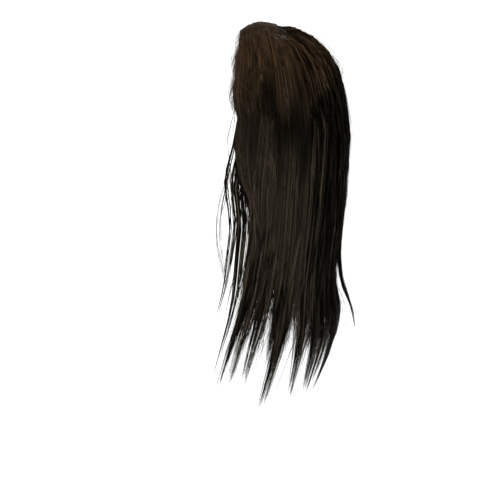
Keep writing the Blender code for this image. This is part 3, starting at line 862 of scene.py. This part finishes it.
def net_finish():
    """Dark net of fine threads that cross both ways, with the sewn rows that the hair hangs from."""
    material, tree, shader = new_material("cap_net_weave")
    link = tree.links.new
    uv = node(tree, "ShaderNodeUVMap", uv_map="weave")
    parts = node(tree, "ShaderNodeSeparateXYZ")
    link(uv.outputs["UV"], parts.inputs[0])
    threads = []
    for lean in (1.0, -1.0):
        slant = node(tree, "ShaderNodeMath", operation="MULTIPLY_ADD")
        slant.inputs[1].default_value = lean
        link(parts.outputs["X"], slant.inputs[0])
        link(parts.outputs["Y"], slant.inputs[2])
        turns = node(tree, "ShaderNodeMath", operation="MULTIPLY")
        turns.inputs[1].default_value = 2.0 * math.pi / NET_PITCH
        link(slant.outputs[0], turns.inputs[0])
        wave = node(tree, "ShaderNodeMath", operation="SINE")
        link(turns.outputs[0], wave.inputs[0])
        threads.append(wave)
    crossed = node(tree, "ShaderNodeMath", operation="MAXIMUM")
    link(threads[0].outputs[0], crossed.inputs[0])
    link(threads[1].outputs[0], crossed.inputs[1])
    thread = node(tree, "ShaderNodeMapRange", **{"From Min": 0.1, "From Max": 0.9})
    link(crossed.outputs[0], thread.inputs["Value"])

    sewn_uv = node(tree, "ShaderNodeUVMap", uv_map="rows")
    sewn_parts = node(tree, "ShaderNodeSeparateXYZ")
    link(sewn_uv.outputs["UV"], sewn_parts.inputs[0])
    rows = node(tree, "ShaderNodeMath", operation="MULTIPLY")
    rows.inputs[1].default_value = 2.0 * math.pi
    link(sewn_parts.outputs["Y"], rows.inputs[0])
    row = node(tree, "ShaderNodeMath", operation="COSINE")
    link(rows.outputs[0], row.inputs[0])
    band = node(tree, "ShaderNodeMapRange", **{"From Min": 0.55, "From Max": 0.75})
    link(row.outputs[0], band.inputs["Value"])
    stitches = node(tree, "ShaderNodeMath", operation="MULTIPLY")
    stitches.inputs[1].default_value = 2.0 * math.pi / STITCH_PITCH
    link(parts.outputs["X"], stitches.inputs[0])
    stitch = node(tree, "ShaderNodeMath", operation="SINE")
    link(stitches.outputs[0], stitch.inputs[0])
    sewn = node(tree, "ShaderNodeMapRange", **{"From Min": -0.2, "From Max": 0.6})
    link(stitch.outputs[0], sewn.inputs["Value"])

    relief = node(tree, "ShaderNodeMix", data_type="FLOAT")
    link(band.outputs["Result"], relief.inputs["Factor"])
    link(thread.outputs["Result"], relief.inputs[2])
    link(sewn.outputs["Result"], relief.inputs[3])
    speckle = node(tree, "ShaderNodeTexNoise", Scale=60.0, Detail=4.0)
    place = node(tree, "ShaderNodeTexCoord")
    link(place.outputs["Object"], speckle.inputs["Vector"])
    worn = node(tree, "ShaderNodeMath", operation="MULTIPLY_ADD")
    worn.inputs[1].default_value = 0.5
    link(speckle.outputs["Fac"], worn.inputs[0])
    link(relief.outputs[0], worn.inputs[2])
    colours = colour_ramp(
        tree,
        ((0.0, (0.0030, 0.0021, 0.0017)), (0.6, (0.014, 0.0098, 0.0078)), (1.3 / 1.5, (0.055, 0.041, 0.033))),
    )
    spread = node(tree, "ShaderNodeMapRange", **{"From Max": 1.5})
    link(worn.outputs[0], spread.inputs["Value"])
    link(spread.outputs["Result"], colours.inputs["Fac"])
    link(colours.outputs["Color"], shader.inputs["Base Color"])
    bump = node(tree, "ShaderNodeBump", Strength=0.6, Distance=0.0004)
    link(relief.outputs[0], bump.inputs["Height"])
    link(bump.outputs["Normal"], shader.inputs["Normal"])
    shader.inputs["Roughness"].default_value = 0.85
    shader.inputs["Specular IOR Level"].default_value = 0.15
    shader.inputs["Sheen Weight"].default_value = 0.05
    return material


def clip_finish():
    """Pressed bronze-toned steel, finely brushed along its length, duller in places."""
    material, tree, shader = new_material("clip_bronze")
    link = tree.links.new
    place = node(tree, "ShaderNodeTexCoord")
    stretch = node(tree, "ShaderNodeMapping")
    stretch.inputs["Scale"].default_value = (900.0, 60.0, 900.0)
    link(place.outputs["Object"], stretch.inputs["Vector"])
    brushed = node(tree, "ShaderNodeTexNoise", Scale=1.0, Detail=3.0)
    link(stretch.outputs["Vector"], brushed.inputs["Vector"])
    dull = node(tree, "ShaderNodeTexNoise", Scale=350.0, Detail=2.0)
    link(place.outputs["Object"], dull.inputs["Vector"])
    colours = colour_ramp(
        tree,
        ((0.3, (0.015, 0.011, 0.008)), (0.55, (0.048, 0.036, 0.027)), (0.8, (0.150, 0.122, 0.096))),
    )
    link(dull.outputs["Fac"], colours.inputs["Fac"])
    link(colours.outputs["Color"], shader.inputs["Base Color"])
    rough = node(tree, "ShaderNodeMapRange", **{"To Min": 0.22, "To Max": 0.48})
    link(brushed.outputs["Fac"], rough.inputs["Value"])
    link(rough.outputs["Result"], shader.inputs["Roughness"])
    bump = node(tree, "ShaderNodeBump", Strength=0.25, Distance=0.0001)
    link(brushed.outputs["Fac"], bump.inputs["Height"])
    link(bump.outputs["Normal"], shader.inputs["Normal"])
    shader.inputs["Metallic"].default_value = 0.9
    return material


def net_cap(material):
    """The cap's net, stretched round the head from the opening's edge to the rim."""
    bm = bmesh.new()
    bmesh.ops.create_grid(bm, x_segments=CAP_COLUMNS, y_segments=CAP_ROWS, size=1.0)
    weave = bm.loops.layers.uv.new("weave")
    rows = bm.loops.layers.uv.new("rows")
    turns = {}
    for vertex in bm.verts:
        turns[vertex] = (vertex.co.x * FRONT_ANGLE, (vertex.co.y + 1.0) / 2.0 * RIM_LEVEL)
    levels = np.linspace(0.0, RIM_LEVEL, NET_LINE_STOPS)
    line = head_surface(np.full(NET_LINE_STOPS, NET_LINE_ANGLE), levels)
    drop = np.concatenate([[0.0], np.cumsum(np.linalg.norm(np.diff(line, axis=0), axis=1))])
    for face in bm.faces:
        for loop in face.loops:
            angle, level = turns[loop.vert]
            loop[weave].uv = (math.radians(angle) * HEAD_BACK, float(np.interp(level, levels, drop)))
            loop[rows].uv = (0.0, float(np.interp(level, WEFT_LEVELS, range(len(WEFT_LEVELS)))))
    for vertex, (angle, level) in turns.items():
        at = (np.array(angle), np.array(level))
        vertex.co = head_surface(*at) + outward(*at) * CAP_WALL / 2.0
    bmesh.ops.recalc_face_normals(bm, faces=bm.faces)
    mesh = bpy.data.meshes.new("cap_net_sheet")
    bm.to_mesh(mesh)
    bm.free()
    mesh.materials.append(material)
    mesh.shade_smooth()
    net_sheet = bpy.data.objects.new("cap_net_sheet", mesh)
    bpy.context.scene.collection.objects.link(net_sheet)
    wall = net_sheet.modifiers.new("wall", "SOLIDIFY")
    wall.thickness = CAP_WALL * NET_WALL_SHARE
    wall.offset = 0.0
    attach(net_sheet, "root")
    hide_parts("cap")


def hair_piece(name, strands, material, stands_for):
    piece = ribbons(name, strands, material)
    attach(piece, "root")
    if stands_for:
        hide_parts(stands_for)
    return piece


def camera_and_lights():
    camera = bpy.data.objects.new("camera", bpy.data.cameras.new("camera"))
    camera.data.lens = CAMERA_LENS
    camera.data.sensor_width = CAMERA_SENSOR
    camera.location = CAMERA_AT
    camera.rotation_euler = (math.radians(CAMERA_PITCH), 0.0, math.radians(90.0))
    bpy.context.scene.collection.objects.link(camera)
    bpy.context.scene.camera = camera
    bpy.context.scene.view_settings.view_transform = "Standard"

    world = bpy.data.worlds.new("studio")
    bpy.context.scene.world = world
    world.use_nodes = True
    world.node_tree.nodes["Background"].inputs["Color"].default_value = (1.0, 1.0, 1.0, 1.0)
    world.node_tree.nodes["Background"].inputs["Strength"].default_value = 1.0

    for sun in SUNS:
        light = bpy.data.objects.new(sun.name, bpy.data.lights.new(sun.name, "SUN"))
        light.data.energy = sun.power
        light.data.angle = math.radians(sun.soft)
        x, y, z = sun.at
        light.rotation_euler = (math.atan2(math.hypot(x, y), z), 0.0, math.atan2(y, x) + math.pi / 2.0)
        bpy.context.scene.collection.objects.link(light)


def floor():
    bm = bmesh.new()
    bmesh.ops.create_grid(bm, x_segments=1, y_segments=1, size=FLOOR_SIZE / 2.0)
    bmesh.ops.translate(bm, verts=bm.verts, vec=(0.0, 0.0, FLOOR_LEVEL))
    mesh = bpy.data.meshes.new("floor")
    bm.to_mesh(mesh)
    bm.free()
    material, _, shader = new_material("pale_floor")
    shader.inputs["Base Color"].default_value = (0.95, 0.95, 0.95, 1.0)
    shader.inputs["Roughness"].default_value = 1.0
    mesh.materials.append(material)
    made = bpy.data.objects.new("floor", mesh)
    bpy.context.scene.collection.objects.link(made)


camera_and_lights()
floor()
hair = hair_finish()
bronze = clip_finish()
net = net_finish()
for clip_name in ("clip_left", "clip_right"):
    bpy.data.objects[clip_name].material_slots[0].material = bronze
net_cap(net)
for panel in (
    Panel("strands_left", LEFT_LOCKS, 5900, 0.0, outer_hair, 0.42, NEAR_SPARSE, "hair_left"),
    Panel("strands_back", BACK_LOCKS, 5600, 0.0, outer_hair, 0.42, NEAR_SPARSE, "hair_back"),
    Panel("strands_right", RIGHT_LOCKS, 5600, 0.0, outer_hair, 0.60, FAR_SPARSE, "hair_right"),
    Panel("strands_nape", NAPE_LOCKS, 4000, NAPE_TOP_LEVEL, nape_hair, 0.75, FAR_SPARSE, "hair_nape"),
):
    seed = len(panel.name) + int(1000 * panel.top_level) + panel.count
    hair_piece(panel.name, panel_strands(panel, np.random.default_rng(seed)), hair, panel.stands_for)
for piece_name, make, count, seed in (
    ("strands_crown", crown_veil, 800, 7),
    ("strands_loose", flyaways, 900, 5),
    ("strands_wisp", far_wisp, 16, 3),
    ("strands_temple", temple_strands, 220, 9),
):
    hair_piece(piece_name, make(count, np.random.default_rng(seed)), hair, None)
